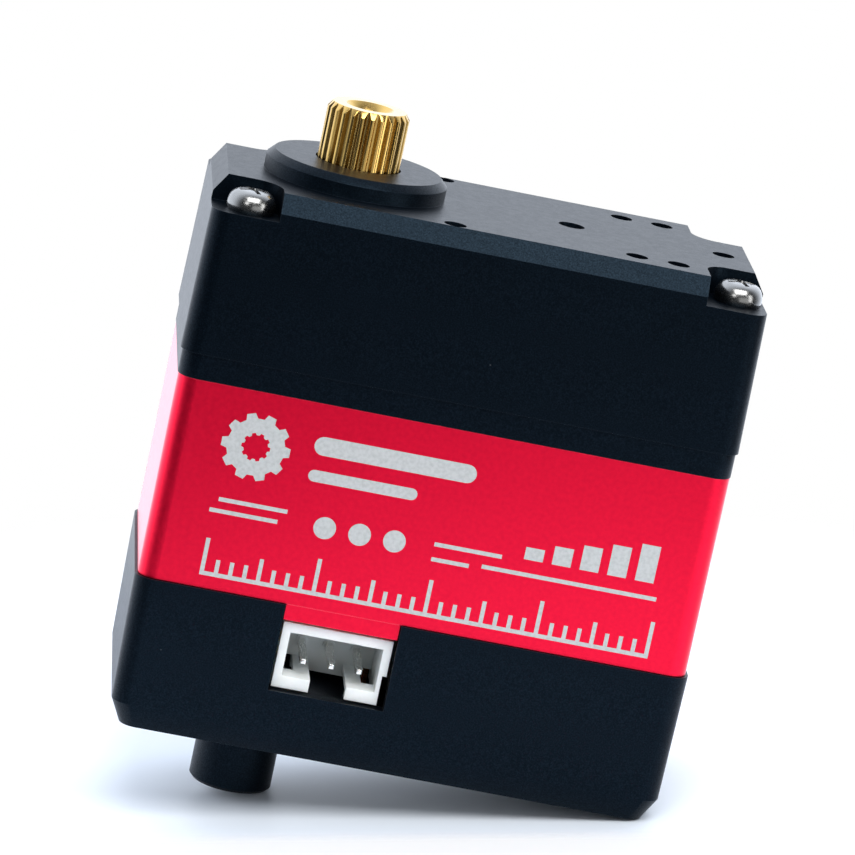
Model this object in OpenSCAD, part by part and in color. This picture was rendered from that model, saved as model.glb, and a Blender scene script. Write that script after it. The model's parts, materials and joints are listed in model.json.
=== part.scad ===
// Digital servo actuator: a geared motor in a layered case, with a splined output shaft on
// top and a plain idler boss below it on the same axis, so that a bracket can grip both ends.
// The origin is on the output axis, level with the underside of the case. +Z runs up the
// output shaft and +X runs along the case to its far end.

/* [Case] */
// Length of the case
case_length = 40; // [40:0.5:44]
// Width of the case
case_width = 20; // [20:0.25:21]
// Distance from the near end to the output axis
axis_inset = 10.2; // [10:0.1:10.6]
// Radius of the upright corners
corner_r = 1.5; // [1:0.25:2]
// Draft of the two plastic end pieces, in degrees
draft = 1; // [0:0.25:1.25]
// Wall thickness of the shells
wall = 1.2; // [1.1:0.05:1.3]

/* [Layers] */
// Height of the bottom case
base_h = 11.13; // [11:0.01:11.2]
// Height of the aluminium shell
shell_h = 14.71; // [14.6:0.01:14.8]
// Height of the gear plate
plate_h = 1.83; // [1.7:0.01:2]
// Height of the top case
top_h = 12.13; // [12:0.01:12.3]
// Step in from the case to the aluminium shell
shell_step = 0.2; // [0.1:0.05:0.3]
// Step in from the case to the gear plate
plate_step = 0.15; // [0.1:0.05:0.2]

/* [Output] */
// Outside diameter of the spline
spline_d = 5.93; // [5.85:0.01:5.96]
// Number of spline teeth
spline_teeth = 25; // [23:1:25]
// Length of the spline above the ring
spline_l = 4.12; // [3.6:0.01:4.6]
// Diameter of the ring round the shaft
ring_d = 13.04; // [12.8:0.02:13.2]
// Height of the ring
ring_h = 1.48; // [1.4:0.01:1.6]

/* [Idler boss] */
// Diameter of the boss
idler_d = 6; // [5.5:0.1:6]
// Length of the boss
idler_l = 5.24; // [4.5:0.01:5.5]

/* [Gears] */
// Teeth on every pinion
pinion_teeth = 10; // [10:1:10]
// Teeth on the first wheel, which the motor drives
wheel_teeth_1 = 50; // [48:1:50]
// Teeth on the second and third wheels
wheel_teeth_2 = 34; // [33:1:34]
// Teeth on the output gear
output_teeth = 29; // [29:1:29]

/* [Motor] */
// Diameter of the motor
motor_d = 16.4; // [16:0.1:16.4]

/* [Hidden] */

$fn = 64;
fine = 32;      // facets of the rounded case corners
slab = 0.01;    // thickness of the slices that a drafted block is stretched over
play = 0.05;    // radial clearance of a turning fit
spline_depth = 0.33;

// Layer heights
shell_z = base_h;
plate_z = shell_z + shell_h;
top_z = plate_z + plate_h;
case_h = top_z + top_h;
ring_z = case_h + ring_h;
tip_z = ring_z + spline_l;

// Plan of the case
x_near = -axis_inset;
x_far = case_length - axis_inset;
x_mid = (x_near + x_far) / 2;
half_w = case_width / 2;

// Edge chamfers of the end pieces: across, then up or down
edge_across = 0.87;
edge_top = 1.35;
edge_base = 1.8;

// Case screws and their pockets
screws = [[-7.3, 7.55], [-7.3, -7.55], [27.65, 6.45], [27.65, -6.45]];
screw_r = 0.8;
screw_head_r = 1.72;
screw_head_h = 1.56;
pocket_depth = 1.95;
near_pocket = [4.95, 4.2, 2];       // reach along and across, radius of the inner corner
far_pocket = [4.68, 5.35, 1.8];
post_r = 1.9;

// Threaded mounting holes in the top face
hole_r = 0.8;
hole_depth = 5;
face_holes = [[20, 6.8], [20, -6.8], [23, 6.8], [23, -6.8], [26.9, 0], [6.9, 8.15], [6.9, -8.15]];
dimple_at = [15.8, 0];

// Gear train: three compound gears on two pins, M drives A, A drives B, B drives A, A drives out
fine_m = 0.25;
mid_m = 0.35;
coarse_m = 0.5;
pressure = 22.5;
backlash = 0.16;    // in modules
addendum = [1, 0.9];    // pinion, then wheel
dedendum = 1.25;
d_motor = (pinion_teeth + wheel_teeth_1) * fine_m / 2;
d_pins = (pinion_teeth + wheel_teeth_2) * mid_m / 2;
d_output = (pinion_teeth + output_teeth) * coarse_m / 2;
a_y = 1.9;
b_y = -2.35;
pin_a = [sqrt(d_output * d_output - a_y * a_y), a_y];
pin_b = [pin_a[0] + sqrt(d_pins * d_pins - (a_y - b_y) * (a_y - b_y)), b_y];
motor_at = [pin_a[0] + sqrt(d_motor * d_motor - a_y * a_y), 0];
pin_r = 0.75;
pin_foot_z = plate_z + 0.66;
pin_top_z = 37.6;

// Floors of the gear layers
first_z = top_z + 0.43;
first_t = 1;
second_z = 29.4;
second_t = 1.4;
third_z = 31.1;
third_t = 1.6;
output_z = 33;
output_t = 3;
gear_gap = 0.1;     // end float between gears on one pin

// Inside of the top case
ceiling_z = 38.3;
pocket_floor_z = case_h - pocket_depth;
pocket_skin = 1.5;

// Bearings: bore radius, outside radius, width, floor
upper = [3, 5, 3, 36.6];
lower = [2, 4, 3, 24.9];
race_t = 0.62;
ball_play = 0.04;

// Motor
motor_r = motor_d / 2;
can_top_z = plate_z - 0.04;
motor_z = 3;
cap_t = 1.6;
can_z = motor_z + cap_t;
can_t = 0.6;
boss_r = 2.6;
boss_h = 0.3;
shaft_r = 0.75;

// Circuit board and its sockets
board_z = 9.75;
board_t = 1.2;
board = [-8.5, 8.4, 8.3];   // low x, high x, half width
socket_x = 4.76;
socket_w = 7.9;
socket_z = 4.92;
socket_h = 4.8;
socket_face = 9.25;
socket_depth = 7.4;
pin_pitch = 2;
pin_w = 0.5;
pin_z = 7;
opening = [0.62, 8.94, 4.75];  // low x, high x and floor of the case opening round the socket
tab_z = 9.95;

plastic = "#15181c";
red_metal = "#c8102e";
steel = "#b9bdc2";
brass = "#c9a24b";
nylon = "#ece8dc";
copper = "#b5703a";
green = "#1d5c3a";
chip = "#202225";

// ---------------------------------------------------------------- plain shapes

// Flat outline of the case with round corners, stepped in by d
module outline(d, r = corner_r) {
    l = case_length - 2 * d;
    w = case_width - 2 * d;
    translate([x_mid, 0]) {
        square([l - 2 * r, w], center = true);
        square([l, w - 2 * r], center = true);
        for (sx = [-1, 1], sy = [-1, 1])
            translate([sx * (l / 2 - r), sy * (w / 2 - r)]) circle(r);
    }
}

module slice(d, z) {
    translate([0, 0, z]) linear_extrude(slab) outline(d, corner_r - min(d, 0.6) * 0.5, $fn = fine);
}

// Drafted block that is full size at z0 and ends at z1 with a chamfered edge
module end_block(z0, z1, edge_h) {
    up = z1 > z0 ? 1 : -1;
    lean = tan(draft);
    straight = abs(z1 - z0) - edge_h;
    foot = up > 0 ? 0 : -slab;
    head = up > 0 ? -slab : 0;
    hull() {
        slice(0, z0 + foot);
        slice(straight * lean, z0 + up * straight);
        slice(straight * lean + edge_across, z1 + head);
    }
}

module ring(r_in, r_out, z, h) {
    translate([0, 0, z]) rotate_extrude() translate([r_in, 0]) square([r_out - r_in, h]);
}

module disc(r, z, h) {
    translate([0, 0, z]) cylinder(r = r, h = h);
}

module at(p) {
    translate([p[0], p[1], 0]) children();
}

module block(low, high) {
    translate(low) cube(high - low);
}

// Block between two opposite corners in plan
module span(p, q, z, h) {
    translate([min(p[0], q[0]), min(p[1], q[1]), z]) cube([abs(p[0] - q[0]), abs(p[1] - q[1]), h]);
}

// Columns that carry the case screws, joined to the nearest corner of the shell
module posts(z, h, r = post_r) {
    for (s = screws) {
        out = [sign(s[0]), sign(s[1])];
        corner = [s[0] < 0 ? x_near + wall / 2 : x_far - wall / 2, out[1] * (half_w - wall / 2)];
        at(s) disc(r, z, h);
        span(s - [0, out[1] * r], corner, z, h);
        span(s - [out[0] * r, 0], corner, z, h);
    }
}

// Upright slots with one rounded inner corner, open at the case's corners
module pockets() {
    for (sy = [-1, 1]) {
        pocket(x_near, 1, sy, near_pocket);
        pocket(x_far, -1, sy, far_pocket);
    }
}

module pocket(x, sx, sy, reach) {
    out = 1;
    r = reach[2];
    translate([x, sy * half_w, pocket_floor_z]) mirror([sx < 0 ? 1 : 0, 0, 0])
        mirror([0, sy > 0 ? 1 : 0, 0]) linear_extrude(pocket_depth + out) {
            translate([-out, -out]) square([reach[0] + out, reach[1] + out - r]);
            translate([-out, -out]) square([reach[0] + out - r, reach[1] + out]);
            translate([reach[0] - r, reach[1] - r]) circle(r);
        }
}

// ---------------------------------------------------------------- gears

function involute(a) = tan(a) * 180 / PI - a;

// Half the angle that a tooth of a gear with n teeth covers at radius r
function half_tooth(n, m, r) =
    let (pitch_r = n * m / 2)
    let (base_r = pitch_r * cos(pressure))
    90 / n - backlash * m * 45 / (PI * pitch_r)
        + involute(pressure) - involute(acos(min(1, base_r / max(r, base_r))));

function polar(r, a) = [r * cos(a), r * sin(a)];

// Radii at which a tooth's flanks have points
function flank_radii(n, m, add) =
    let (pitch_r = n * m / 2)
    let (root = pitch_r - dedendum * m)
    let (low = max(root, pitch_r * cos(pressure)))
    let (tip = pitch_r + add * m)
    concat(low > root ? [root] : [], [for (k = [0:4]) low + (tip - low) * k / 4]);

module gear(n, m, add, z, t, bore, turn = 0) {
    radii = flank_radii(n, m, add);
    last = len(radii) - 1;
    teeth = [for (i = [0:n - 1], side = [-1, 1], k = [0:last])
        let (r = radii[side < 0 ? k : last - k])
        polar(r, i * 360 / n + side * half_tooth(n, m, r))];
    difference() {
        translate([0, 0, z]) rotate(turn) linear_extrude(t) polygon(teeth);
        if (bore > 0) disc(bore, z - 1, t + 2);
    }
}

function heading(from, to) = atan2(to[1] - from[1], to[0] - from[0]);

// A pinion points a tooth at its partner, and a wheel points a gap
function wheel_turn(n, from, to) = heading(from, to) + 180 / n;

// ---------------------------------------------------------------- case

module top_case() {
    color(plastic) difference() {
        union() {
            difference() {
                end_block(top_z, case_h, edge_top);
                pockets();
                gear_chamber();
            }
            top_ribs();
            ring_collar();
        }
        for (p = face_holes) at(p) disc(hole_r, case_h - hole_depth, hole_depth + 1);
        at(dimple_at) disc(0.95, case_h - 0.35, 1);
        for (p = screws) at(p) disc(screw_r + 0.15, top_z - 1, top_h + 2);
        disc(upper[1], upper[3], upper[2]);
        disc(upper[0] + 0.08, upper[3] + upper[2] - 1, 10);
        for (p = [pin_a, pin_b]) at(p) disc(pin_r, top_z, pin_top_z - top_z + 0.1);
    }
}

module gear_chamber() {
    h = ceiling_z - top_z + 1;
    difference() {
        translate([0, 0, top_z - 1]) linear_extrude(h) outline(wall, 0.8);
        for (sy = [-1, 1]) {
            corner_roof(x_near, 1, sy, near_pocket);
            corner_roof(x_far, -1, sy, far_pocket);
        }
        posts(top_z - 1, h);
    }
}

// Solid roof left under a screw pocket
module corner_roof(x, sx, sy, reach) {
    skin = 1;
    low_z = pocket_floor_z - pocket_skin;
    translate([x, sy * half_w, low_z]) mirror([sx < 0 ? 1 : 0, 0, 0]) mirror([0, sy > 0 ? 1 : 0, 0])
        cube([reach[0] + skin, reach[1] + skin, ceiling_z - low_z + 1]);
}

// Bosses that hang from the ceiling: bearing seat, pin sockets and threaded holes
module top_ribs() {
    roof = ceiling_z + 0.1;
    disc(upper[1] + 1.1, upper[3], roof - upper[3]);
    at(pin_a) disc(1.9, output_z + output_t + 0.6, roof - output_z - output_t - 0.6);
    at(pin_b) disc(1.9, output_z + 0.1, roof - output_z - 0.1);
    for (p = face_holes) at(p) disc(hole_r + 0.8, case_h - hole_depth - 0.8, roof - case_h + hole_depth + 0.8);
}

module ring_collar() {
    r = ring_d / 2;
    c = 0.5;
    rotate_extrude() polygon([
        [upper[0], ceiling_z], [r, ceiling_z], [r, ring_z - c], [r - c, ring_z], [upper[0], ring_z]
    ]);
}

module gear_plate() {
    pocket_low = lower[3];
    color(plastic) difference() {
        union() {
            translate([0, 0, plate_z]) linear_extrude(plate_h) outline(plate_step);
            disc(lower[1] + 1.2, pocket_low - 0.7, plate_z - pocket_low + 0.8);
        }
        disc(lower[1], pocket_low, 10);
        disc(lower[0] + 0.6, pocket_low - 2, 3);
        at(motor_at) disc(shaft_r + 0.25, plate_z - 1, 5);
        at(motor_at) disc(boss_r + 0.1, plate_z - 1, 1.36);
        for (p = [pin_a, pin_b]) at(p) disc(pin_r, pin_foot_z, 5);
        for (p = screws) at(p) disc(screw_r + 0.15, plate_z - 1, 5);
        for (sy = [-1, 1]) at(motor_at + [0, sy * 6]) disc(1.05, plate_z - 1, 5);
    }
}

module aluminium_shell() {
    color(red_metal) difference() {
        union() {
            translate([0, 0, shell_z]) linear_extrude(shell_h) outline(shell_step, corner_r - 0.1);
            for (sy = [-1, 1]) mirror([0, sy > 0 ? 1 : 0, 0])
                block([opening[0] + 0.03, -half_w + shell_step + 0.15, tab_z],
                      [opening[1] - 0.03, -board[2] - 0.1, shell_z + 1]);
        }
        difference() {
            union() {
                block([x_near + wall + shell_step, -board[2] - 0.2, shell_z - 1],
                      [motor_at[0], board[2] + 0.2, plate_z + 1]);
                block([motor_at[0], -4, shell_z - 1], [x_far - wall - shell_step, 4, plate_z + 1]);
            }
            posts(shell_z - 2, shell_h + 4);
            motor_seat();
        }
        at(motor_at) disc(motor_r + play, shell_z - 1, shell_h + 2);
        for (p = screws) at(p) disc(screw_r + 0.15, shell_z - 1, shell_h + 2);
    }
}

// Thick wall that grips the motor
module motor_seat() {
    difference() {
        at(motor_at) disc(motor_r + wall, shell_z - 2, shell_h + 4);
        block([-20, -4.5, shell_z - 3], [motor_at[0], 4.5, plate_z + 3]);
    }
}

module bottom_case() {
    color(plastic) difference() {
        union() {
            difference() {
                end_block(base_h, 0, edge_base);
                base_cavity();
                for (sy = [-1, 1]) mirror([0, sy > 0 ? 1 : 0, 0])
                    block([opening[0], -half_w - 1, opening[2]], [opening[1], -half_w + 3, base_h + 1]);
            }
            idler_boss();
            board_ledges();
        }
        disc(1.05, -idler_l - 1, idler_l + 3);
        for (p = screws) at(p) disc(screw_r, 4, base_h);
    }
}

module base_cavity() {
    floor_z = 1.6;
    difference() {
        translate([0, 0, floor_z]) linear_extrude(base_h) outline(wall + 0.1, 0.8);
        posts(0, base_h + 2);
        disc(2.6, 0, 3.2);
        at(motor_at) difference() {
            ring(5.8, 7, 0, motor_z);
            block([-8, -1.5, 1.6], [0, 1.5, motor_z + 1]);
        }
    }
}

module idler_boss() {
    r = idler_d / 2;
    root = 0.5;
    collar_r = 4.4;
    collar_h = 0.4;
    tip = 0.25;
    rotate_extrude() polygon(concat(
        [[0, 0.5], [0, -idler_l], [r - tip, -idler_l], [r, -idler_l + tip]],
        [for (a = [0:15:90]) [r + root - root * cos(a), -collar_h - root + root * sin(a)]],
        [[collar_r - 0.2, -collar_h], [collar_r, -collar_h + 0.2], [collar_r, 0.5]]
    ));
}

// Small shelves under the edges of the circuit board
module board_ledges() {
    for (sy = [-1, 1], x = [-4.6, -0.9]) mirror([0, sy > 0 ? 1 : 0, 0])
        block([x, -half_w + wall, 1], [x + 1.2, -board[2] + 0.9, board_z]);
}

// Pan head screws with cross recesses, from the pockets down into the bottom case
module case_screws() {
    color(steel) for (p = screws) at(p) {
        difference() {
            union() {
                disc(screw_r - 0.02, 5, pocket_floor_z - 4.9);
                translate([0, 0, pocket_floor_z]) rotate_extrude() polygon(concat(
                    [[0, 0], [screw_head_r - 0.3, 0]],
                    [for (a = [-30:15:90]) [
                        screw_head_r - 0.8 + 0.8 * cos(a),
                        0.4 + sin(a) * (a < 0 ? 0.8 : screw_head_h - 0.5)
                    ]],
                    [[0, screw_head_h]]
                ));
            }
            for (a = [20, 110]) rotate(a)
                translate([-1.05, -0.17, pocket_floor_z + 0.7]) cube([2.1, 0.34, 2]);
            translate([0, 0, pocket_floor_z + 0.5]) cylinder(r1 = 0.2, r2 = 0.5, h = screw_head_h);
        }
    }
}

// ---------------------------------------------------------------- output

module output_shaft() {
    r = spline_d / 2;
    shoulder_z = output_z + output_t;
    color(brass) difference() {
        union() {
            disc(lower[0], lower[3] - 0.3, lower[2] + 0.3);
            disc(2.5, lower[3] + lower[2], output_z - lower[3] - lower[2]);
            disc(3, output_z, output_t);
            disc(3.6, shoulder_z, upper[3] - shoulder_z);
            disc(upper[0], upper[3], ring_z - upper[3] - 0.25);
            intersection() {
                spline(r, ring_z - 0.25, spline_l + 0.25);
                translate([0, 0, ring_z - 1]) rotate_extrude() polygon([
                    [0, 0], [r + 0.1, 0], [r + 0.1, spline_l + 0.4], [r - spline_depth, spline_l + 1],
                    [0, spline_l + 1]
                ]);
            }
        }
        disc(1.25, tip_z - 9, 10);
        translate([0, 0, tip_z - 0.48]) cylinder(r1 = 1.25, r2 = 1.75, h = 0.5);
    }
}

// Toothed bar with round-topped teeth. Each tooth's points are [share of a step, depth].
module spline(r, z, h) {
    step = 360 / spline_teeth;
    tooth = [[-0.4, spline_depth], [-0.18, 0.03], [0, 0], [0.18, 0.03], [0.4, spline_depth]];
    translate([0, 0, z]) linear_extrude(h) polygon([
        for (i = [0:spline_teeth - 1], t = tooth) polar(r - t[1], (i + t[0]) * step)
    ]);
}

module output_gear() {
    color(brass) gear(output_teeth, coarse_m, addendum[1], output_z, output_t, 3,
                      wheel_turn(output_teeth, [0, 0], pin_a));
}

module encoder_stem() {
    top = lower[3] - 0.3;
    color(nylon) difference() {
        union() {
            disc(1.2, 14, top - 14);
            disc(2.4, 12.6, 2.6);
        }
        disc(2, 12, 2.2);
    }
}

module encoder_magnet() {
    color(steel) disc(2, 12.4, 1.8);
}

// ---------------------------------------------------------------- bearings

function groove_r(b) = (b[0] + b[1]) / 2;
function ball_r(b) = (b[1] - b[0]) / 2 - race_t + 0.2;

module race(b, r_in, r_out) {
    color(steel) difference() {
        ring(r_in, r_out, b[3], b[2]);
        translate([0, 0, b[3] + b[2] / 2]) rotate_extrude() translate([groove_r(b), 0])
            circle(ball_r(b) + ball_play);
    }
}

module ball_set(b, count) {
    color(steel) for (i = [0:count - 1]) rotate(i * 360 / count)
        translate([groove_r(b), 0, b[3] + b[2] / 2]) sphere(ball_r(b));
}

module upper_bearing_outer() { race(upper, upper[1] - race_t, upper[1]); }
module upper_bearing_inner() { race(upper, upper[0], upper[0] + race_t); }
module upper_ball_set() { ball_set(upper, 9); }
module lower_bearing_outer() { race(lower, lower[1] - race_t, lower[1]); }
module lower_bearing_inner() { race(lower, lower[0], lower[0] + race_t); }
module lower_ball_set() { ball_set(lower, 7); }

// ---------------------------------------------------------------- gear train

// Wheels ride on the shoulders of their pinions, and both turn on one pin
module compound_wheel(n, m, z, t, from, to) {
    color(brass) at(from) gear(n, m, addendum[1], z, t, pin_r + 0.5 * m + 0.6, wheel_turn(n, from, to));
}

module compound_pinion(m, z_low, z_gear, z_top, hub_r, from, to) {
    color(steel) at(from) {
        gear(pinion_teeth, m, addendum[0], z_gear, z_top - z_gear, pin_r + play, heading(from, to));
        ring(pin_r + play, hub_r, z_low, z_gear - z_low);
    }
}

module first_wheel() {
    compound_wheel(wheel_teeth_1, fine_m, first_z, first_t, pin_a, motor_at);
}

module first_pinion() {
    compound_pinion(mid_m, first_z, first_z + first_t, third_z - gear_gap, pin_r + 0.5 * fine_m + 0.6,
                    pin_a, pin_b);
}

module second_wheel() {
    compound_wheel(wheel_teeth_2, mid_m, second_z, second_t, pin_b, pin_a);
}

module second_pinion() {
    compound_pinion(mid_m, second_z, second_z + second_t, output_z - gear_gap, pin_r + 0.5 * mid_m + 0.6,
                    pin_b, pin_a);
}

module third_wheel() {
    compound_wheel(wheel_teeth_2, mid_m, third_z, third_t, pin_a, pin_b);
}

module third_pinion() {
    compound_pinion(coarse_m, third_z, third_z + third_t, output_z + output_t + 0.3,
                    pin_r + 0.5 * mid_m + 0.6, pin_a, [0, 0]);
}

// Each pin has a collar that its lowest gear stands on: [centre, collar radius, collar top]
module gear_pins() {
    color(steel) for (p = [[pin_a, 1.4, first_z - gear_gap / 2], [pin_b, 0.92, second_z - gear_gap / 2]])
        at(p[0]) {
            disc(pin_r, pin_foot_z, pin_top_z - pin_foot_z);
            disc(p[1], top_z, p[2] - top_z);
        }
}

// ---------------------------------------------------------------- motor

module motor_can() {
    color(steel) at(motor_at) difference() {
        union() {
            disc(motor_r, can_z, can_top_z - can_z);
            disc(boss_r, can_top_z, boss_h);
        }
        disc(motor_r - can_t, can_z - 1, can_top_z - can_z);
        disc(1.4, can_z, 30);
        for (sy = [-1, 1]) at([0, sy * 6]) disc(0.8, can_z, 30);
    }
}

module motor_end_cap() {
    color(plastic) at(motor_at) difference() {
        union() {
            disc(motor_r, motor_z, cap_t);
            disc(motor_r - can_t, can_z, 0.8);
        }
        disc(3.2, motor_z + 0.8, 5);
    }
}

module motor_magnet() {
    color("#3b3d40") at(motor_at) ring(1.4, 5.6, 9, can_top_z - 1 - 9);
}

module motor_bushes() {
    color(brass) at(motor_at) for (z = [9.5, 22.5]) ring(shaft_r + 0.03, 1.4, z, 2.4);
}

module motor_screws() {
    color(steel) for (sy = [-1, 1]) at(motor_at + [0, sy * 6]) difference() {
        union() {
            disc(0.78, can_top_z - 1, top_z - can_top_z + 1);
            disc(1.5, top_z, 0.8);
        }
        for (a = [0, 90]) rotate(a) translate([-0.9, -0.15, top_z + 0.4]) cube([1.8, 0.3, 1]);
    }
}

module motor_shaft() {
    color(steel) at(motor_at) disc(shaft_r, motor_z + 1, first_z + first_t - motor_z - 1);
}

module motor_winding() {
    color(copper) at(motor_at) difference() {
        union() {
            ring(6.05, 6.9, 7.6, 15);
            disc(6.9, 6.8, 0.8);
        }
        disc(shaft_r, 0, 20);
    }
}

module motor_commutator() {
    color(brass) at(motor_at) ring(shaft_r, 1.5, 4.4, 2.4);
}

module motor_pinion() {
    z = top_z + 0.23;
    color(brass) at(motor_at)
        gear(pinion_teeth, fine_m, addendum[0], z, first_z + first_t - z, shaft_r, heading(motor_at, pin_a));
}

// Two strips from under the motor's end cap up to the underside of the board
module motor_terminals() {
    x = board[1] - 0.5;
    y = 0.9;
    t = 0.25;
    half = 0.3;
    color(copper) for (sy = [-1, 1]) {
        block([x, sy * y - half, motor_z - t], [motor_at[0] - 1.5, sy * y + half, motor_z]);
        block([x, sy * y - half, motor_z - t], [x + t, sy * y + half, board_z]);
    }
}

// ---------------------------------------------------------------- electronics

module circuit_board() {
    color(green) difference() {
        block([board[0], -board[2], board_z], [board[1], board[2], board_z + board_t]);
        posts(board_z - 1, board_t + 2, post_r + 0.15);
        for (sy = [-1, 1], k = [-1:1]) at([socket_x + k * pin_pitch, sy * 1.35]) disc(0.42, board_z - 1, 5);
    }
}

module controller_chip() {
    low = board_z - 0.9;
    color(chip) block([-5.2, -1.8, low], [-1.7, 1.8, board_z]);
}

module driver_chips() {
    top = board_z + board_t;
    color(chip) for (sy = [-1, 1])
        block([3.4, sy * 5.4 - 1.9, top], [6.9, sy * 5.4 + 1.9, top + 1.1]);
}

module encoder_chip() {
    top = board_z + board_t;
    color(chip) block([-1.5, -1.5, top], [1.5, 1.5, top + 0.9]);
}

module capacitors() {
    top = board_z + board_t;
    color(copper) for (sy = [-1, 1])
        block([-5.6, sy * 4 - 0.8, top], [-2.4, sy * 4 + 0.8, top + 1.6]);
}

// Side entry wire-to-board socket for three pins. Its floor has a gap in the middle and two
// slots behind the lip, and one side steps in lower down so that a plug fits one way only.
module socket() {
    side = 0.6;
    lip = 0.9;
    cavity = 6;
    low_z = socket_z;
    high_z = socket_z + socket_h;
    face = -socket_face;
    x0 = socket_x - socket_w / 2;
    x1 = socket_x + socket_w / 2;
    color(nylon) difference() {
        union() {
            difference() {
                block([x0, face, low_z], [x1, face + socket_depth, high_z]);
                block([x0 + side, face - 1, low_z + lip], [x1 - side, face + cavity, high_z - 0.7]);
            }
            for (k = [-1:1]) translate([socket_x + k * pin_pitch, face + cavity + 0.1, pin_z])
                rotate([90, 0, 0]) cylinder(r = 0.45, h = 0.35);
        }
        block([x1 - 0.3, face - 1, low_z - 1], [x1 + 1, face + cavity, pin_z + 0.1]);
        block([socket_x - 1.3, face - 1, low_z - 1], [socket_x + 1.3, face + cavity, low_z + 2]);
        block([x0 + side, face + lip, low_z - 1], [x1 - side, face + cavity, low_z + 0.45]);
        for (sx = [-1, 1]) translate([socket_x + sx * 2.9, 0, 0])
            block([-0.46, face + 2, low_z - 1], [0.46, face + cavity + 1.5, low_z + lip]);
        for (k = [-1:1]) translate([socket_x + k * pin_pitch, face, pin_z])
            cube([pin_w, 30, pin_w], center = true);
    }
}

// Bent square pins with tapered tips
module socket_pins() {
    h = pin_w / 2;
    taper = 0.35;
    tip_y = -socket_face + 0.3;
    color(steel) for (k = [-1:1]) {
        x = socket_x + k * pin_pitch;
        block([x - h, tip_y + taper, pin_z - h], [x + h, -1.35 + h, pin_z + h]);
        block([x - h, -1.35 - h, pin_z + h], [x + h, -1.35 + h, board_z + board_t + 0.5]);
        translate([x, tip_y + taper, pin_z]) rotate([90, 0, 0])
            linear_extrude(taper, scale = 0.65) square(pin_w, center = true);
    }
}

module front_socket() { socket(); }
module front_pins() { socket_pins(); }
module rear_socket() { mirror([0, 1, 0]) socket(); }
module rear_pins() { mirror([0, 1, 0]) socket_pins(); }

top_case();
gear_plate();
aluminium_shell();
bottom_case();
case_screws();
output_shaft();
output_gear();
encoder_stem();
encoder_magnet();
upper_bearing_outer();
upper_bearing_inner();
upper_ball_set();
lower_bearing_outer();
lower_bearing_inner();
lower_ball_set();
first_wheel();
first_pinion();
second_wheel();
second_pinion();
third_wheel();
third_pinion();
gear_pins();
motor_can();
motor_end_cap();
motor_magnet();
motor_bushes();
motor_screws();
motor_shaft();
motor_winding();
motor_commutator();
motor_pinion();
motor_terminals();
circuit_board();
controller_chip();
driver_chips();
encoder_chip();
capacitors();
front_socket();
front_pins();
rear_socket();
rear_pins();
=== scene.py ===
"""Looks of a digital servo actuator: moulded black case, red anodised shell, brass spline.

Everything is in metres in the part's own frame: the origin is on the output axis, level with
the underside of the case, +Z runs up the output shaft and -Y out of the front face.
"""

import json
import math

import bmesh
import bpy
from mathutils import Matrix, Vector

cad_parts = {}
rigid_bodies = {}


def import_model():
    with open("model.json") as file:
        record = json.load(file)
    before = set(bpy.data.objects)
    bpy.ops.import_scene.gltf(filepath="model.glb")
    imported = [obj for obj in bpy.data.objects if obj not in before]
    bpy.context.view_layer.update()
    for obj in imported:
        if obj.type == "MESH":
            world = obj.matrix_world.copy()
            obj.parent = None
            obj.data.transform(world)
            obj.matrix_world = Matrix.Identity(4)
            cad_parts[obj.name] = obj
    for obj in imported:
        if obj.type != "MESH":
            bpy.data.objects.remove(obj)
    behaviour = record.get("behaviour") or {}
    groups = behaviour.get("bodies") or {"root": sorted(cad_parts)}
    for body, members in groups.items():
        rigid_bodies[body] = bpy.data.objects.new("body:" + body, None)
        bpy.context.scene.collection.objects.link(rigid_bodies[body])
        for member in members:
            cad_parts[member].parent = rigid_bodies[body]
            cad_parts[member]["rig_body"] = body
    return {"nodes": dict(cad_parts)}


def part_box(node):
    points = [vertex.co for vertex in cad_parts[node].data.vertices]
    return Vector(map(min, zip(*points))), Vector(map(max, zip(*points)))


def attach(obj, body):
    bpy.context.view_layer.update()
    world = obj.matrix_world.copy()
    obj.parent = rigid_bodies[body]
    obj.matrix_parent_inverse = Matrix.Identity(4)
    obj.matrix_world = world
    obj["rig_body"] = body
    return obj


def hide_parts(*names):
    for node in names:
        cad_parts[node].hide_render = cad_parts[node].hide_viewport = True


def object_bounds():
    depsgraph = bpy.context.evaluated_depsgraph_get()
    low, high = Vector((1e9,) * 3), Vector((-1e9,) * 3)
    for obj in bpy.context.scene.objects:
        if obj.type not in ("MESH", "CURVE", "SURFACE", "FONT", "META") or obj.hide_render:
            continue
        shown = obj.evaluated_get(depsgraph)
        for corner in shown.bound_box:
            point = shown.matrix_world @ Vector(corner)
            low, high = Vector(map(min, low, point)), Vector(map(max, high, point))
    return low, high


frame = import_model()
CAD_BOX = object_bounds()
MM = 0.001


# ------------------------------------------------------------------ places taken from the frame

CASE_LOW, CASE_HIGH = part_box("top_case")
BASE_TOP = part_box("bottom_case")[1].z
PRINT_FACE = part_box("aluminium_shell")[0].y
BOSS_END = CAD_BOX[0].z
BOSS_R = 3 * MM
FOOT_INSET = 1.05 * MM  # from the far end to the bottom edge that the servo leans on
AIM_HEIGHT = 8.9 * MM  # of the point that the camera and lamps face, above the bottom case
CENTRE = Vector(((CASE_LOW.x + CASE_HIGH.x) / 2, 0, BASE_TOP + AIM_HEIGHT))


# ------------------------------------------------------------------ materials

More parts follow.
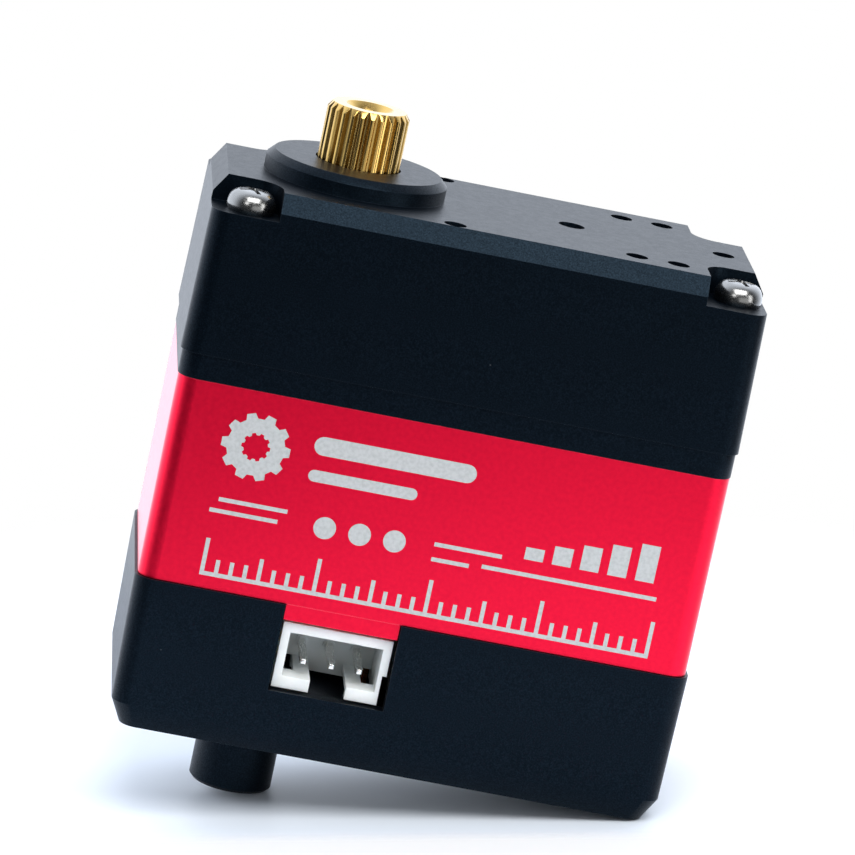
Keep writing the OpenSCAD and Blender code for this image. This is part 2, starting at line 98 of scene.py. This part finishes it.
class Look:
    """A Principled material with short calls for the procedural nodes that feed it."""

    def __init__(self, name, **sockets):
        self.mat = bpy.data.materials.new(name)
        self.mat.use_nodes = True
        self.tree = self.mat.node_tree
        self.shader = self.tree.nodes["Principled BSDF"]
        self.coord = self.tree.nodes.new("ShaderNodeTexCoord").outputs["Object"]
        self.normal = None
        for key, value in sockets.items():
            self.set(key, value)

    def set(self, key, value):
        """Puts a number, a colour or another node's output on one of the shader's sockets."""
        socket = self.shader.inputs[key.replace("_", " ")]
        if isinstance(value, bpy.types.NodeSocket):
            self.tree.links.new(value, socket)
        else:
            colour = socket.type == "RGBA" and hasattr(value, "__len__")
            socket.default_value = (*value, 1) if colour else value

    def node(self, kind, inputs=None, **settings):
        n = self.tree.nodes.new("ShaderNode" + kind)
        for key, value in settings.items():
            setattr(n, key, value)
        for key, value in (inputs or {}).items():
            if isinstance(value, bpy.types.NodeSocket):
                self.tree.links.new(value, n.inputs[key])
            else:
                n.inputs[key].default_value = value
        return n

    def stretched(self, scale):
        """Object coordinates squeezed by a factor along each axis."""
        return self.node("Mapping", {"Vector": self.coord, "Scale": scale}).outputs["Vector"]

    def noise(self, size, detail=2.0, roughness=0.5, coord=None):
        """Noise whose features are about size metres across."""
        return self.node("TexNoise", {
            "Vector": coord or self.coord, "Scale": 1 / size, "Detail": detail, "Roughness": roughness,
        }).outputs["Fac"]

    def specks(self, spacing, radius):
        """1 in scattered dots of about that radius, and 0 between them."""
        cells = self.node("TexVoronoi", {"Vector": self.coord, "Scale": 1 / spacing, "Randomness": 1.0})
        return self.spread(cells.outputs["Distance"], radius / spacing, 0.4 * radius / spacing, 0.0, 1.0)

    def spread(self, value, low, high, out_low, out_high):
        """Maps low..high to out_low..out_high and holds the ends."""
        return self.node("MapRange", {
            "Value": value, "From Min": low, "From Max": high, "To Min": out_low, "To Max": out_high,
        }, clamp=True).outputs["Result"]

    def maths(self, operation, a, b):
        return self.node("Math", {0: a, 1: b}, operation=operation).outputs[0]

    def blend(self, fac, a, b):
        """Colour a where fac is 0 and b where it is 1."""
        n = self.node("Mix", {"Factor": fac}, data_type="RGBA")
        for index, value in ((6, a), (7, b)):
            if isinstance(value, bpy.types.NodeSocket):
                self.tree.links.new(value, n.inputs[index])
            else:
                n.inputs[index].default_value = (*value, 1)
        return n.outputs[2]

    def bump(self, height, depth, strength=1.0):
        """Adds relief: height runs 0 to 1 over depth metres."""
        n = self.node("Bump", {"Height": height, "Distance": depth, "Strength": strength})
        if self.normal:
            self.tree.links.new(self.normal, n.inputs["Normal"])
        self.normal = n.outputs["Normal"]
        self.set("Normal", self.normal)

    def edges(self, radius):
        """1 on sharp edges and 0 on flats, from how far the bevelled normal leans."""
        bevel = self.node("Bevel", {"Radius": radius}, samples=4)
        flat = self.node("NewGeometry").outputs["Normal"]
        dot = self.node("VectorMath", {0: bevel.outputs["Normal"], 1: flat}, operation="DOT_PRODUCT")
        return self.spread(dot.outputs["Value"], 0.995, 0.9, 0.0, 1.0)


def moulded_plastic(name, colour, edge_highlight, roughness=0.38):
    """Spark-textured moulding: fine grain, faint flow clouds, dust, and a painted highlight on the edges.
    """
    look = Look(name, Specular_Tint=(0.42, 0.70, 1.0))
    grain = look.noise(0.10 * MM, detail=2.0)
    clouds = look.noise(5 * MM, detail=3.0)
    specks = look.specks(2.6 * MM, 0.07 * MM)
    base = look.blend(look.spread(clouds, 0.35, 0.7, 0.0, 1.0), colour, tuple(c * 1.4 for c in colour))
    base = look.blend(look.spread(grain, 0.5, 0.75, 0.0, 0.6), base, tuple(c * 4 for c in colour))
    # Painted highlight: sharp edges are lightened towards the edge highlight colour.
    base = look.blend(look.maths("MULTIPLY", look.edges(0.10 * MM), 0.35), base, edge_highlight)
    look.set("Base Color", look.blend(look.maths("MULTIPLY", specks, 0.45), base, (0.10, 0.11, 0.12)))
    look.set("Specular IOR Level", look.spread(grain, 0.35, 0.7, 0.10, 0.21))
    look.set("Roughness", look.spread(look.noise(0.5 * MM), 0.3, 0.7, roughness - 0.01, roughness + 0.03))
    look.bump(grain, 0.004 * MM, 0.4)
    return look.mat


def anodised(name, colour, pale):
    """Bead-blasted and dyed aluminium: satin grain, with a painted highlight that makes the edges paler.
    """
    look = Look(name, Metallic=1.0, Coat_Weight=1.0, Coat_IOR=1.18, Coat_Roughness=0.3,
                Specular_Tint=(0.72, 0.72, 0.78))
    blast = look.noise(0.07 * MM, detail=2.0)
    mottle = look.noise(0.35 * MM, detail=4.0)
    light = tuple(min(1, c * 1.1 + 0.003) for c in colour)
    base = look.blend(look.spread(mottle, 0.3, 0.75, 0.0, 1.0), colour, light)
    # Painted highlight: the edges are blended towards the pale colour.
    look.set("Base Color", look.blend(look.maths("MULTIPLY", look.edges(0.1 * MM), 0.4), base, pale))
    look.set("Roughness", look.spread(mottle, 0.3, 0.7, 0.36, 0.42))
    look.bump(blast, 0.006 * MM, 0.5)
    return look.mat


def machined(name, colour, dark, roughness, lines=(1, 1, 1), depth=0.004):
    """Bare metal with tool marks drawn out along one axis, stain in patches and a painted highlight on the
    edges.
    """
    look = Look(name, Metallic=1.0, Roughness=roughness)
    marks = look.noise(0.09 * MM, detail=3.0, coord=look.stretched(lines))
    stain = look.noise(1.3 * MM, detail=4.0)
    base = look.blend(look.spread(stain, 0.45, 0.8, 0.0, 0.6), colour, dark)
    # Painted highlight: the edges are blended towards a lighter tone of the metal.
    highlight_tone = tuple(min(1, c * 1.25) for c in colour)
    look.set("Base Color", look.blend(look.maths("MULTIPLY", look.edges(0.06 * MM), 0.6), base, highlight_tone))
    look.set("Roughness", look.spread(marks, 0.3, 0.7, max(0.05, roughness - 0.06), roughness + 0.1))
    look.bump(marks, depth * MM, 0.5)
    return look.mat


def nylon(name, colour, shade):
    """Soft white moulding with a little light under its skin."""
    look = Look(name, Roughness=0.38, Subsurface_Weight=0.5, Subsurface_Scale=0.9 * MM,
                Subsurface_Radius=(1.0, 0.9, 0.8))
    cloud = look.noise(1.2 * MM, detail=3.0)
    look.set("Base Color", look.blend(look.spread(cloud, 0.35, 0.7, 0.0, 1.0), colour, shade))
    look.set("Roughness", look.spread(look.noise(0.3 * MM), 0.3, 0.7, 0.33, 0.45))
    look.bump(look.noise(0.15 * MM), 0.005 * MM, 0.4)
    return look.mat


def solder_mask(name, colour, dark):
    """Green varnish over a woven board, with copper tracks showing as paler lines."""
    look = Look(name, Roughness=0.32, Coat_Weight=0.4, Coat_Roughness=0.15)
    weave = look.node("TexChecker", {"Vector": look.coord, "Scale": 1 / (0.5 * MM)}).outputs["Fac"]
    tracks = look.node("TexBrick", {
        "Vector": look.coord, "Scale": 1 / (2.2 * MM), "Mortar Size": 0.03, "Mortar Smooth": 0.2,
    }, offset=0.35).outputs["Fac"]
    base = look.blend(look.maths("MULTIPLY", weave, 0.25), colour, dark)
    pale = tuple(c * 2.2 for c in colour)
    look.set("Base Color", look.blend(look.maths("MULTIPLY", tracks, 0.55), base, pale))
    look.set("Roughness", look.spread(look.noise(0.6 * MM), 0.3, 0.7, 0.27, 0.4))
    look.bump(tracks, 0.015 * MM, 0.6)
    return look.mat


def printed(name, colour):
    """Silver ink, a little uneven, thinner in patches."""
    look = Look(name, Metallic=0.15, Roughness=0.5)
    patch = look.noise(0.25 * MM, detail=4.0)
    thin = tuple(c * 0.82 for c in colour)
    look.set("Base Color", look.blend(look.spread(patch, 0.4, 0.75, 0.0, 1.0), colour, thin))
    look.set("Roughness", look.spread(patch, 0.3, 0.7, 0.42, 0.58))
    look.bump(look.noise(0.06 * MM), 0.004 * MM, 0.5)
    return look.mat


# The last colour of each moulding and the pale colour of the anodising are painted edge highlights.
BLACK = moulded_plastic("black_moulding", (0.0004, 0.0010, 0.0020), (0.016, 0.021, 0.028))
RED = anodised("red_anodised", (0.84, 0.003, 0.036), (0.95, 0.16, 0.22))
BRASS = machined("brass_turned", (0.56, 0.37, 0.115), (0.47, 0.29, 0.08), 0.18, (1, 1, 0.03), 0.0002)
STEEL = machined("steel_ground", (0.58, 0.59, 0.61), (0.40, 0.40, 0.41), 0.25, (1, 1, 0.1))
POLISHED = machined("bearing_steel", (0.72, 0.73, 0.75), (0.55, 0.56, 0.58), 0.12, (1, 1, 0.1), 0.002)
NICKEL = machined("nickel_plate", (0.27, 0.27, 0.265), (0.20, 0.20, 0.20), 0.22, (1, 1, 1), 0.0006)
ZINC = machined("zinc_plate", (0.60, 0.61, 0.64), (0.45, 0.46, 0.49), 0.30, (1, 1, 0.05))
SINTER = machined("sintered_magnet", (0.16, 0.16, 0.17), (0.08, 0.08, 0.09), 0.45, (1, 1, 1), 0.02)
COPPER = machined("copper_wire", (0.70, 0.33, 0.17), (0.45, 0.18, 0.08), 0.30, (0.2, 0.2, 3))
TIN = machined("tinned_pin", (0.80, 0.79, 0.76), (0.66, 0.66, 0.63), 0.22, (1, 0.1, 1), 0.0008)
WHITE = nylon("white_nylon", (0.80, 0.82, 0.81), (0.74, 0.77, 0.75))
CREAM = nylon("cream_acetal", (0.80, 0.76, 0.66), (0.72, 0.67, 0.56))
BOARD = solder_mask("solder_mask", (0.012, 0.085, 0.035), (0.008, 0.055, 0.022))
CHIP = moulded_plastic("chip_epoxy", (0.012, 0.012, 0.013), (0.06, 0.06, 0.06), 0.55)
CERAMIC = nylon("ceramic", (0.42, 0.27, 0.13), (0.34, 0.21, 0.10))
INK = printed("silver_ink", (0.49, 0.50, 0.495))

LOOKS = {
    BLACK: ["top_case", "gear_plate", "bottom_case", "motor_end_cap"],
    RED: ["aluminium_shell"],
    BRASS: ["output_shaft", "output_gear", "first_wheel", "second_wheel", "third_wheel",
            "motor_bushes", "motor_pinion"],
    STEEL: ["first_pinion", "second_pinion", "third_pinion", "gear_pins", "motor_shaft"],
    POLISHED: ["upper_bearing_outer", "upper_bearing_inner", "upper_ball_set",
               "lower_bearing_outer", "lower_bearing_inner", "lower_ball_set", "encoder_magnet"],
    NICKEL: ["case_screws", "motor_screws"],
    ZINC: ["motor_can"],
    SINTER: ["motor_magnet"],
    COPPER: ["motor_winding", "motor_commutator", "motor_terminals"],
    TIN: ["front_pins", "rear_pins"],
    WHITE: ["front_socket", "rear_socket"],
    CREAM: ["encoder_stem"],
    BOARD: ["circuit_board"],
    CHIP: ["controller_chip", "driver_chips", "encoder_chip"],
    CERAMIC: ["capacitors"],
}


def dress_frame():
    """Gives every carried-over node its material."""
    for mat, names in LOOKS.items():
        for name in names:
            mesh = frame["nodes"][name].data
            mesh.materials.clear()
            mesh.materials.append(mat)


# ------------------------------------------------------------------ softened copies of visible nodes


def body_of(node):
    return frame["nodes"][node]["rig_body"]


def softened(node, width):
    """A copy of a node with true flats and small rounded edges, which stands for the node."""
    source = frame["nodes"][node]
    bm = bmesh.new()
    bm.from_mesh(source.data)
    bmesh.ops.remove_doubles(bm, verts=bm.verts, dist=0.002 * MM)
    bmesh.ops.dissolve_limit(bm, angle_limit=math.radians(0.6), verts=bm.verts, edges=bm.edges)
    bmesh.ops.recalc_face_normals(bm, faces=bm.faces)
    mesh = bpy.data.meshes.new(node + "_soft")
    bm.to_mesh(mesh)
    bm.free()
    piece = bpy.data.objects.new(node + "_soft", mesh)
    bpy.context.scene.collection.objects.link(piece)
    bevel = piece.modifiers.new("round", "BEVEL")
    bevel.width = width
    bevel.segments = 3
    bevel.limit_method = "ANGLE"
    bevel.angle_limit = math.radians(28)
    bevel.use_clamp_overlap = True
    bevel.harden_normals = False
    bevel.miter_outer = "MITER_SHARP"
    apply_modifiers(piece)
    smooth(piece)
    flatten = piece.modifiers.new("flats", "WEIGHTED_NORMAL")
    flatten.keep_sharp = True
    apply_modifiers(piece)
    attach(piece, body_of(node))
    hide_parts(node)
    piece.data.materials.append(source.data.materials[0])
    return piece


def apply_modifiers(piece):
    graph = bpy.context.evaluated_depsgraph_get()
    mesh = bpy.data.meshes.new_from_object(piece.evaluated_get(graph))
    old = piece.data
    piece.modifiers.clear()
    piece.data = mesh
    bpy.data.meshes.remove(old)


def smooth(piece):
    """Smooth shading with hard breaks at edges sharper than 30 degrees."""
    bm = bmesh.new()
    bm.from_mesh(piece.data)
    limit = math.radians(30)
    for face in bm.faces:
        face.smooth = True
    for edge in bm.edges:
        edge.smooth = len(edge.link_faces) == 2 and edge.calc_face_angle(0) < limit
    bm.to_mesh(piece.data)
    bm.free()


# ------------------------------------------------------------------ plain printed marks

INK_PROUD = 0.012 * MM
INK_SUNK = 0.02 * MM
LINE = 0.3  # width of thin bars and scale marks, in millimetres
COG = (-3.7, 21.85, 2.45)  # x, z and radius, in millimetres
COG_BORE = 0.42  # share of the cog's own outline


def box_outline(x, z, width, height):
    """Corners of an upright rectangle from its lower left corner, in millimetres."""
    return [(x, z), (x + width, z), (x + width, z + height), (x, z + height)]


def round_outline(x, z, r, steps=36):
    return [(x + r * math.cos(2 * math.pi * i / steps), z + r * math.sin(2 * math.pi * i / steps))
            for i in range(steps)]


def pill_outline(x, z, width, height, steps=10):
    """Bar with round ends, from its lower left corner."""
    r = height / 2
    right = [(x + width - r + r * math.sin(math.pi * i / steps), z + r - r * math.cos(math.pi * i / steps))
             for i in range(steps + 1)]
    left = [(x + r - r * math.sin(math.pi * i / steps), z + r + r * math.cos(math.pi * i / steps))
            for i in range(steps + 1)]
    return right + left


def cog_outline(x, z, r, teeth=10, depth=0.16):
    """Outline of a cog, four points a tooth."""
    out = []
    for i in range(teeth):
        for share, level in ((-0.32, 1 - depth), (-0.2, 1), (0.2, 1), (0.32, 1 - depth)):
            angle = 2 * math.pi * (i + share) / teeth
            out.append((x + r * level * math.cos(angle), z + r * level * math.sin(angle)))
    return out


def add_mark(bm, outer, inner=None):
    """Thin slab of ink with this outline, and with a hole if inner has as many points."""
    front, back = PRINT_FACE - INK_PROUD, PRINT_FACE + INK_SUNK

    def loop(points, y):
        return [bm.verts.new((px * MM, y, pz * MM)) for px, pz in points]

    def walls(first, second):
        for i in range(len(first)):
            j = (i + 1) % len(first)
            bm.faces.new((first[i], first[j], second[j], second[i]))

    fore, aft = loop(outer, front), loop(outer, back)
    walls(aft, fore)
    if inner is None:
        bm.faces.new(fore)
        bm.faces.new(list(reversed(aft)))
        return
    fore_in, aft_in = loop(inner, front), loop(inner, back)
    walls(fore_in, aft_in)
    walls(fore, fore_in)
    walls(aft_in, aft)


def add_marks():
    """A cog, bars, dots, a level gauge and a scale in place of any lettering."""
    bm = bmesh.new()
    cog_x, cog_z, cog_r = COG
    add_mark(bm, cog_outline(cog_x, cog_z, cog_r), cog_outline(cog_x, cog_z, cog_r * COG_BORE))
    add_mark(bm, pill_outline(0.3, 22.15, 11.6, 1.35))
    add_mark(bm, pill_outline(0.3, 20.2, 7.8, 0.85))
    for x, z, width in ((-5.5, 17.55, 4.9), (-6.0, 16.7, 4.85), (10.0, 17.25, 4.85), (10.0, 16.15, 2.7),
                        (13.6, 16.3, 12.6)):
        add_mark(bm, box_outline(x, z, width, LINE))
    for k in range(3):
        add_mark(bm, round_outline(2.2 + 2.5 * k, 17.05, 0.8))
    for k in range(5):
        add_mark(bm, box_outline(16.4 + 2 * k, 17.55, 1.35, 0.9 + 0.45 * k))
    scale_x, scale_z, steps = -5.8, 12.1, 32
    add_mark(bm, box_outline(scale_x, scale_z, steps + LINE, LINE))
    for k in range(steps + 1):
        tall = 2.4 if k % 8 == 0 else 1.6 if k % 4 == 0 else 0.95
        add_mark(bm, box_outline(scale_x + k, scale_z + LINE, LINE, tall))
    bmesh.ops.recalc_face_normals(bm, faces=bm.faces)
    mesh = bpy.data.meshes.new("printed_marks")
    bm.to_mesh(mesh)
    bm.free()
    marks = bpy.data.objects.new("printed_marks", mesh)
    bpy.context.scene.collection.objects.link(marks)
    mesh.materials.append(INK)
    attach(marks, body_of("aluminium_shell"))


# ------------------------------------------------------------------ camera, stage and light

# Where the camera stands: turn, dip and roll about the servo in degrees, distance and framing
CAMERA_TURN = 5.53
CAMERA_DIP = 12.63
CAMERA_ROLL = 12.08
CAMERA_DISTANCE = 420 * MM
CAMERA_SIDE = 0.35 * MM
CAMERA_RISE = -3.36 * MM
LENS = 246.4
SENSOR = 36

# Light of the studio where no lamp is: the room in front and the pale sweep behind
ROOM_DARK = (0.05, 0.055, 0.06)
SWEEP_SIDE = (-0.25, 0.97, 0)
SWEEP_PALE = (1.8, 1.93, 2.15)

TABLE_R = 85 * MM
TABLE_SHIFT = 14 * MM  # of the table's middle from the boss, along the table

# The servo leans on its idler boss and the far bottom edge
LEAN = math.atan2(-BOSS_END, CASE_HIGH.x - FOOT_INSET - BOSS_R)


def add_camera():
    turn = Matrix.Rotation(math.radians(CAMERA_TURN), 3, "Z")
    dip = Matrix.Rotation(math.radians(CAMERA_DIP), 3, "X")
    roll = Matrix.Rotation(math.radians(CAMERA_ROLL), 3, "Y")
    right, forward, up = roll @ dip @ turn
    camera = bpy.data.objects.new("camera", bpy.data.cameras.new("camera"))
    camera.data.lens = LENS
    camera.data.sensor_width = SENSOR
    camera.data.clip_start = 0.01
    pose = Matrix((right, up, -forward)).transposed().to_4x4()
    pose.translation = CENTRE - right * CAMERA_SIDE - forward * CAMERA_DISTANCE - up * CAMERA_RISE
    camera.matrix_world = pose
    bpy.context.scene.collection.objects.link(camera)
    bpy.context.scene.camera = camera


def lean_frame():
    """Axes of the table under the leaning servo: along, across and up."""
    tilt = Matrix.Rotation(-LEAN, 3, "Y")
    return tilt @ Vector((1, 0, 0)), Vector((0, 1, 0)), tilt @ Vector((0, 0, 1))


def fading_white(name, radius, front):
    """White table that melts into the backdrop at its rim and ahead of the servo."""
    look = Look(name, Roughness=0.5)
    look.set("Base Color", look.blend(look.noise(40 * MM), (0.80, 0.86, 0.94), (0.84, 0.9, 0.97)))
    gap = look.node("VectorMath", {0: look.coord}, operation="LENGTH").outputs["Value"]
    rim = look.spread(gap, radius * 0.35, radius * 0.98, 1.0, 0.0)
    depth = look.node("SeparateXYZ", {"Vector": look.coord}).outputs["Y"]
    ahead = look.spread(depth, front - 2 * MM, front, 0.35, 1.0)
    melt = look.maths("SUBTRACT", 1.0, look.maths("MULTIPLY", rim, ahead))
    seen = look.node("LightPath").outputs["Is Camera Ray"]
    look.set("Alpha", look.maths("SUBTRACT", 1.0, look.maths("MULTIPLY", melt, seen)))
    return look.mat


def add_table():
    along, across, up = lean_frame()
    bm = bmesh.new()
    bmesh.ops.create_circle(bm, cap_ends=True, segments=96, radius=TABLE_R)
    mesh = bpy.data.meshes.new("table")
    bm.to_mesh(mesh)
    bm.free()
    table = bpy.data.objects.new("table", mesh)
    mesh.materials.append(fading_white("table_white", TABLE_R, CASE_LOW.y - 1 * MM))
    foot = Vector((BOSS_R, 0, BOSS_END))
    pose = Matrix((along, across, up)).transposed().to_4x4()
    pose.translation = foot + along * TABLE_SHIFT - up * 0.01 * MM
    table.matrix_world = pose
    bpy.context.scene.collection.objects.link(table)


def add_softbox(name, place, size, power):
    """A rectangular lamp at place, in the table's axes, that faces the servo."""
    along, across, up = lean_frame()
    light = bpy.data.lights.new(name, "AREA")
    light.shape = "RECTANGLE"
    light.size, light.size_y = size
    light.energy = power
    lamp = bpy.data.objects.new(name, light)
    lamp.location = CENTRE + along * place[0] + across * place[1] + up * place[2]
    lamp.rotation_euler = (CENTRE - lamp.location).to_track_quat("-Z", "Y").to_euler()
    lamp.visible_camera = False
    bpy.context.scene.collection.objects.link(lamp)


def add_world():
    """White backdrop for the camera. For light, a pale sweep behind and a dark room in front."""
    world = bpy.data.worlds.new("studio")
    world.use_nodes = True
    tree = world.node_tree
    coord = tree.nodes.new("ShaderNodeTexCoord")
    behind = tree.nodes.new("ShaderNodeVectorMath")
    behind.operation = "DOT_PRODUCT"
    behind.inputs[1].default_value = SWEEP_SIDE
    tree.links.new(coord.outputs["Generated"], behind.inputs[0])
    ramp = tree.nodes.new("ShaderNodeValToRGB")
    ramp.color_ramp.interpolation = "EASE"
    shift = tree.nodes.new("ShaderNodeMapRange")
    for key, value in (("From Min", -1), ("From Max", 1), ("To Min", 0), ("To Max", 1)):
        shift.inputs[key].default_value = value
    tree.links.new(behind.outputs["Value"], shift.inputs["Value"])
    tree.links.new(shift.outputs["Result"], ramp.inputs["Fac"])
    ramp.color_ramp.elements[0].position = 0.25
    ramp.color_ramp.elements[0].color = (*ROOM_DARK, 1)
    ramp.color_ramp.elements[1].position = 0.80
    ramp.color_ramp.elements[1].color = (*SWEEP_PALE, 1)
    glow = tree.nodes["Background"]
    tree.links.new(ramp.outputs["Color"], glow.inputs["Color"])
    backdrop = tree.nodes.new("ShaderNodeBackground")
    backdrop.inputs["Color"].default_value = (1, 1, 1, 1)
    path = tree.nodes.new("ShaderNodeLightPath")
    mix = tree.nodes.new("ShaderNodeMixShader")
    tree.links.new(path.outputs["Is Camera Ray"], mix.inputs[0])
    tree.links.new(glow.outputs[0], mix.inputs[1])
    tree.links.new(backdrop.outputs[0], mix.inputs[2])
    tree.links.new(mix.outputs[0], tree.nodes["World Output"].inputs["Surface"])
    bpy.context.scene.world = world


def light_studio():
    add_world()
    add_softbox("top_light", (0.10, -0.27, 0.36), (0.42, 0.26), 2.3)
    add_softbox("front_fill", (-0.15, -0.40, 0.22), (0.12, 0.12), 0.18)
    add_softbox("front_card", (0.12, -0.25, 0.0), (0.24, 0.14), 0.085)
    add_softbox("corner_card", (0.34, -0.22, 0.04), (0.10, 0.26), 0.30)


add_camera()
dress_frame()
softened("top_case", 0.18 * MM)
softened("bottom_case", 0.16 * MM)
softened("aluminium_shell", 0.08 * MM)
softened("gear_plate", 0.05 * MM)
softened("case_screws", 0.03 * MM)
softened("output_shaft", 0.025 * MM)
for side in ("front", "rear"):
    softened(side + "_socket", 0.06 * MM)
    softened(side + "_pins", 0.03 * MM)
add_marks()
add_table()
light_studio()

scene = bpy.context.scene
scene.view_settings.view_transform = "Standard"
